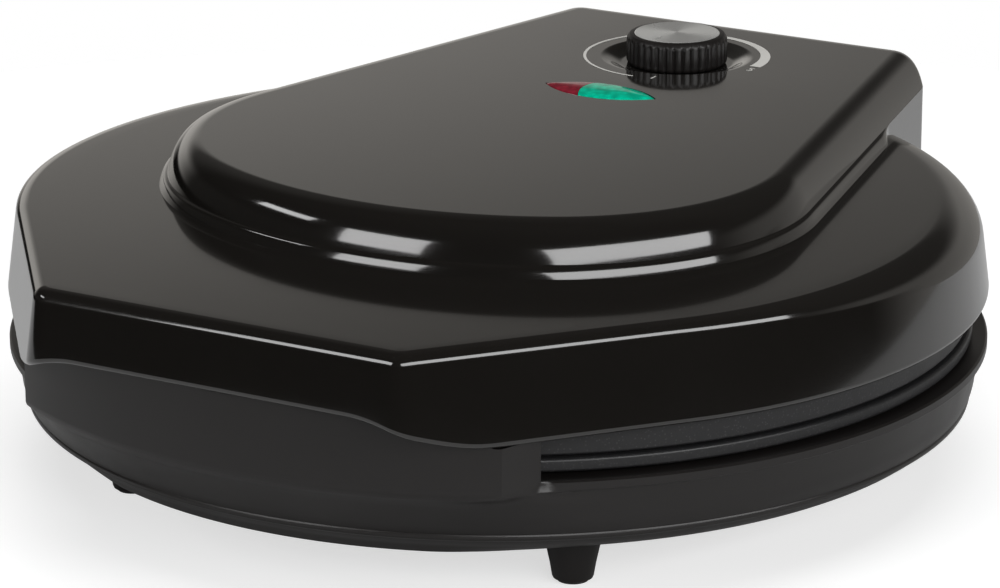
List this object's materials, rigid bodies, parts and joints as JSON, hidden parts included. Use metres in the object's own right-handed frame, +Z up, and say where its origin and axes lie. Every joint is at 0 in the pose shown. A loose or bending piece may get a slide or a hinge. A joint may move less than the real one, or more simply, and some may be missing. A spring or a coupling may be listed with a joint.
{
  "type": "electric pizza maker",
  "caption": "Round countertop electric pizza maker with a shallow footed base, hinged glossy lid, raised control cover, dial knob, eye-shaped indicator lens and dished cooking plates.",
  "frame": {"origin": "middle of the footprint's bounding box on the table, level with the foot pads' undersides", "axes": "+Z up, -Y towards the user at the lid's prow, +Y towards the hinge, +X to the user's right; lid closed at rest"},
  "size_m": [0.3318, 0.3598, 0.1183],
  "materials": {
    "base_plastic": "satin near-black moulded plastic",
    "pad_rubber": "matte grey-black rubber",
    "screw_steel": "zinc-plated steel",
    "plate_coating": "dark speckled non-stick coating on a cast aluminium plate",
    "element_steel": "dull dark sheathed heating tube",
    "sheet_steel": "galvanised sheet steel",
    "hinge_steel": "drawn steel rod",
    "gland_rubber": "black rubber",
    "inner_plastic": "off-white heat-proof plastic",
    "lid_gloss": "high-gloss black moulded plastic",
    "fuse_white": "white ceramic-like sleeve",
    "lens_red": "translucent red plastic",
    "lens_green": "translucent green plastic",
    "lamp_glass": "clear glass of a small lamp",
    "knob_plastic": "black satin plastic",
    "cap_aluminium": "spun aluminium disc"
  },
  "bodies": {
    "base": {"base_shell": "base_plastic", "foot_front_left": "base_plastic", "foot_front_right": "base_plastic", "foot_rear_left": "base_plastic", "foot_rear_right": "base_plastic", "foot_pads": "pad_rubber", "foot_screws": "screw_steel", "lower_plate": "plate_coating", "lower_element": "element_steel", "lower_element_clips": "sheet_steel", "lower_clip_screws": "screw_steel", "lower_reflector": "sheet_steel", "lower_spacers": "sheet_steel", "lower_plate_screws": "screw_steel", "hinge_rod": "hinge_steel", "hinge_rod_clips": "sheet_steel", "cord_bush": "gland_rubber", "cord_clamp": "inner_plastic", "cord_clamp_screws": "screw_steel", "terminal_block": "inner_plastic", "terminal_block_screws": "screw_steel"},
    "lid": {"lid_shell": "lid_gloss", "control_cover": "lid_gloss", "cover_screws": "screw_steel", "upper_plate": "plate_coating", "upper_element": "element_steel", "upper_element_clips": "sheet_steel", "upper_clip_screws": "screw_steel", "upper_reflector": "sheet_steel", "upper_spacers": "sheet_steel", "upper_plate_screws": "screw_steel", "thermostat": "inner_plastic", "thermostat_bracket": "sheet_steel", "bracket_screws": "screw_steel", "thermal_fuse": "fuse_white", "fuse_clip": "sheet_steel", "red_lens": "lens_red", "green_lens": "lens_green", "lamp_holder": "inner_plastic", "lamp_holder_screws": "screw_steel", "red_lamp": "lamp_glass", "green_lamp": "lamp_glass"},
    "knob": {"control_knob": "knob_plastic", "knob_cap": "cap_aluminium", "thermostat_spindle": "hinge_steel"}
  },
  "joints": [
    {"name": "lid_hinge", "type": "hinge", "parent": "base", "child": "lid", "pos_m": [0, 0.169, 0.05], "axis": [-1, 0, 0], "range_deg": [0, 100]},
    {"name": "knob_turn", "type": "hinge", "parent": "lid", "child": "knob", "pos_m": [0, 0.125, 0.1], "axis": [0, 0, -1], "range_deg": [-8, 262]}
  ]
}
